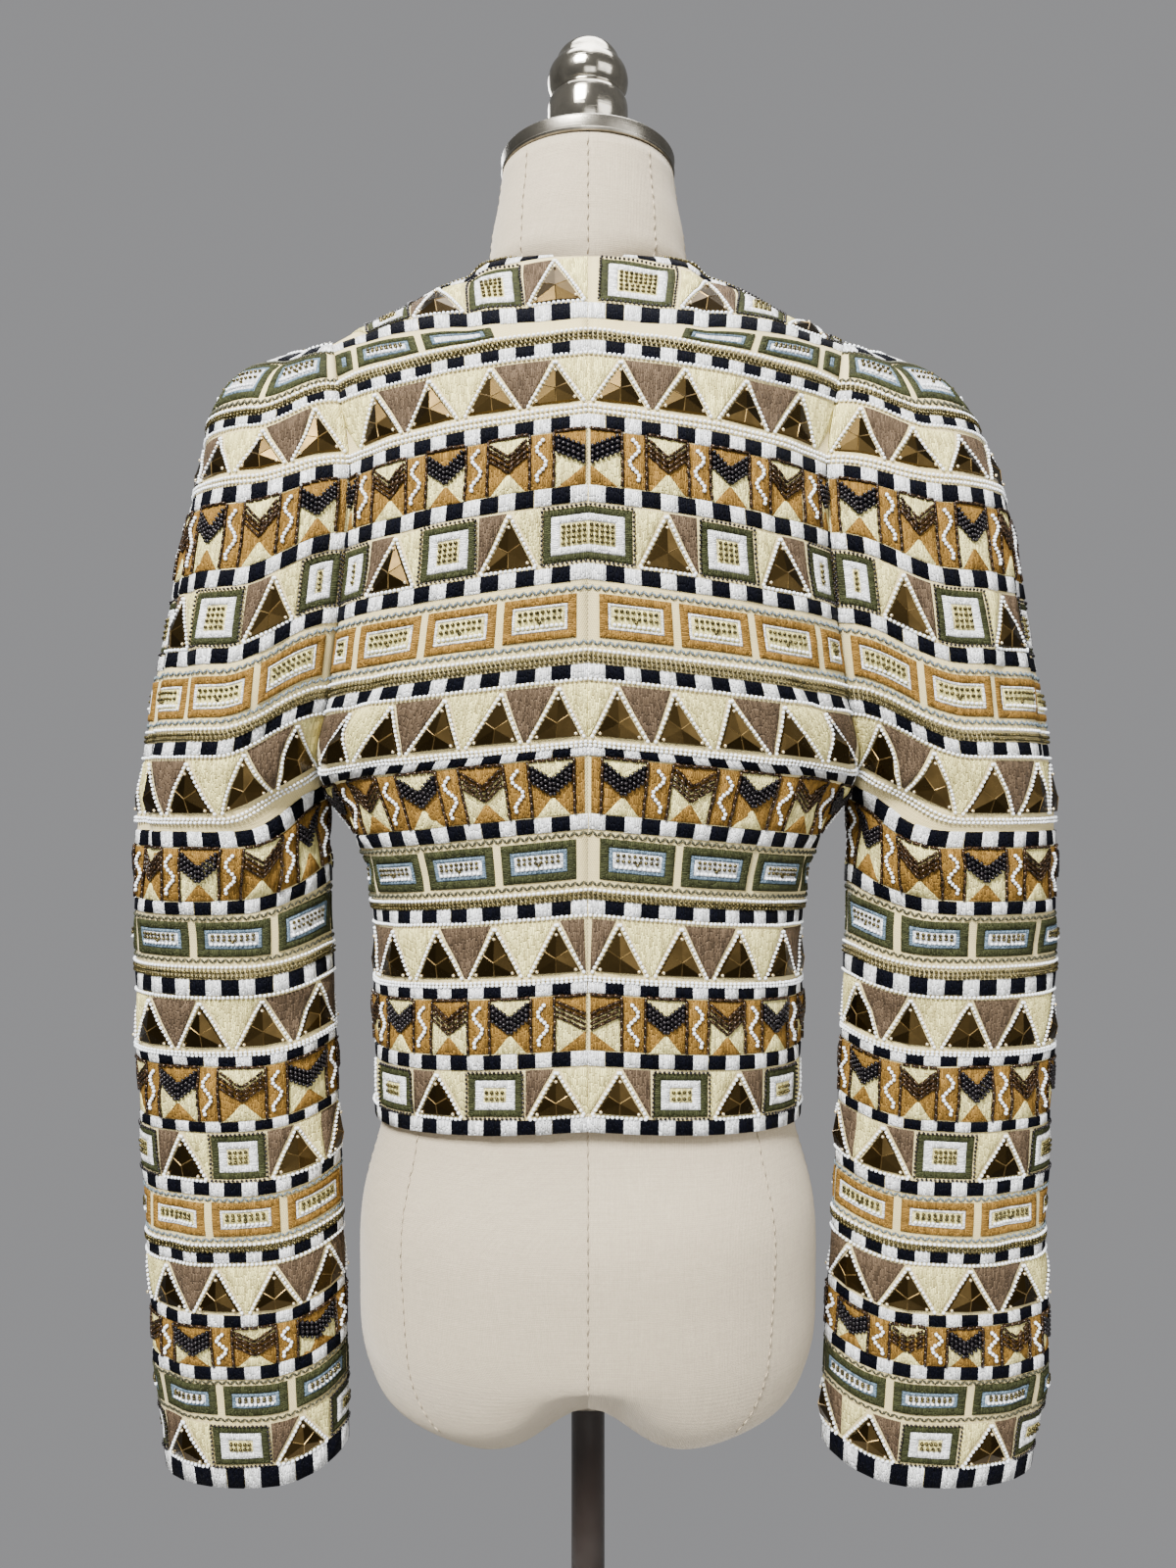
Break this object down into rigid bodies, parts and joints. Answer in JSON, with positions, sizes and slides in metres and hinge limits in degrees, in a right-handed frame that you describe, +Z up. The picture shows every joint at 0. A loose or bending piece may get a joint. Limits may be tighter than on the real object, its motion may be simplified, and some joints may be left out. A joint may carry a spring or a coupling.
{
  "type": "beaded jacket on dress form",
  "caption": "Cropped collarless jacket with long open sleeves, embroidered and beaded in geometric bands, resting on a limbless linen dress form with a metal neck cap, pole and round foot",
  "frame": {"origin": "centre of the underside of the stand's round foot", "axes": "+Z up; the jacket's back, the side pictured, faces -Y; +X is to the right of someone looking at the back"},
  "size_m": [0.5642, 0.34, 1.538],
  "materials": {
    "embroidered_cloth": "cream twill worked all over in thread, satin stitch and beads",
    "beads": "small white, gold and dark glass beads and bugles",
    "studs": "bronze-coloured faceted studs",
    "linen_cover": "heathered linen stretched over the form",
    "nickel": "polished nickel plate with slight wear",
    "black_lacquer": "glossy black-brown paint"
  },
  "bodies": {
    "root": {"back_left": "embroidered_cloth", "back_right": "embroidered_cloth", "front_left": "embroidered_cloth", "front_right": "embroidered_cloth", "sleeve_left": "embroidered_cloth", "sleeve_right": "embroidered_cloth", "form_body": "linen_cover", "neck_plate": "nickel", "finial": "nickel", "pole": "black_lacquer", "base": "black_lacquer"}
  },
  "joints": []
}
